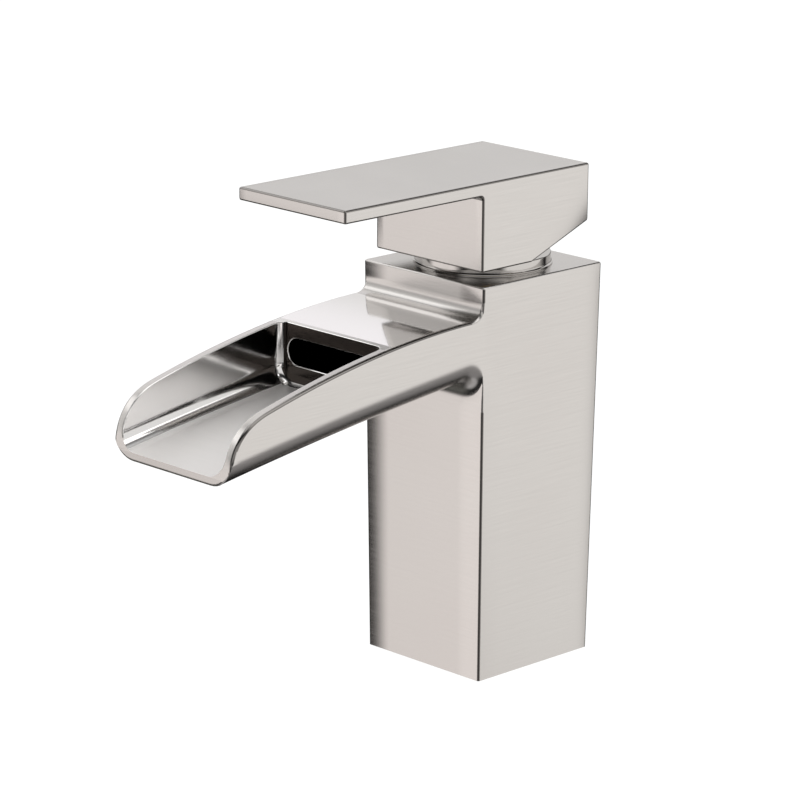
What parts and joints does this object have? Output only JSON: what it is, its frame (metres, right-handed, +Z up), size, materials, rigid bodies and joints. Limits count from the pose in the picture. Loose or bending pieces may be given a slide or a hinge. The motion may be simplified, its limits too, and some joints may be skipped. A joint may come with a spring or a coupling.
{
  "type": "bathroom mixer faucet",
  "caption": "Single-lever basin mixer with a square tapered column, an open waterfall spout with a slot outlet and a flat blade lever over a round collar.",
  "frame": {"origin": "centre of the column's foot, on the face that stands on the basin", "axes": "+Z up the column, -Y along the spout towards the lip, +X to the side of the cold way"},
  "size_m": [0.0454, 0.1347, 0.1371],
  "materials": {
    "brushed_nickel": "brushed nickel plate, satin",
    "polished_nickel": "polished nickel plate",
    "raw_brass": "machined, unplated",
    "pin_steel": "plain stainless",
    "white_plastic": "moulded acetal",
    "grey_plastic": "moulded",
    "red_plastic": "moulded",
    "ceramic": "lapped alumina",
    "gasket_rubber": "matt"
  },
  "bodies": {
    "mixer_body": {"faucet_body": "brushed_nickel", "foot_gasket": "gasket_rubber", "cartridge_base": "grey_plastic", "cold_port_seal": "gasket_rubber", "hot_port_seal": "gasket_rubber", "disc_seal": "gasket_rubber", "fixed_ceramic_disc": "ceramic", "cartridge_housing": "white_plastic", "housing_o_ring": "gasket_rubber", "hot_limit_ring": "red_plastic", "retaining_nut": "raw_brass", "collar_o_ring": "gasket_rubber", "trim_collar": "polished_nickel"},
    "swivel": {"spindle": "white_plastic", "pivot_pin": "pin_steel"},
    "slider": {"moving_ceramic_disc": "ceramic", "disc_carrier": "grey_plastic"},
    "lever": {"lever_stem": "raw_brass", "handle": "brushed_nickel", "set_screw": "pin_steel", "handle_plug": "brushed_nickel"}
  },
  "joints": [
    {"name": "handle_swivel", "type": "hinge", "parent": "mixer_body", "child": "swivel", "pos_m": [0, 0, 0.1096], "axis": [0, 0, 1], "range_deg": [-50, 50]},
    {"name": "lever_lift", "type": "hinge", "parent": "swivel", "child": "lever", "pos_m": [0, 0, 0.106], "axis": [-1, 0, 0], "range_deg": [0, 20]},
    {"name": "disc_slide", "type": "slide", "parent": "swivel", "child": "slider", "axis": [0, -1, 0], "range_m": [0, 0.0041]}
  ],
  "couplings": [
    {"joint": "disc_slide", "follows": "lever_lift", "m_per_rad": 0.0115}
  ]
}
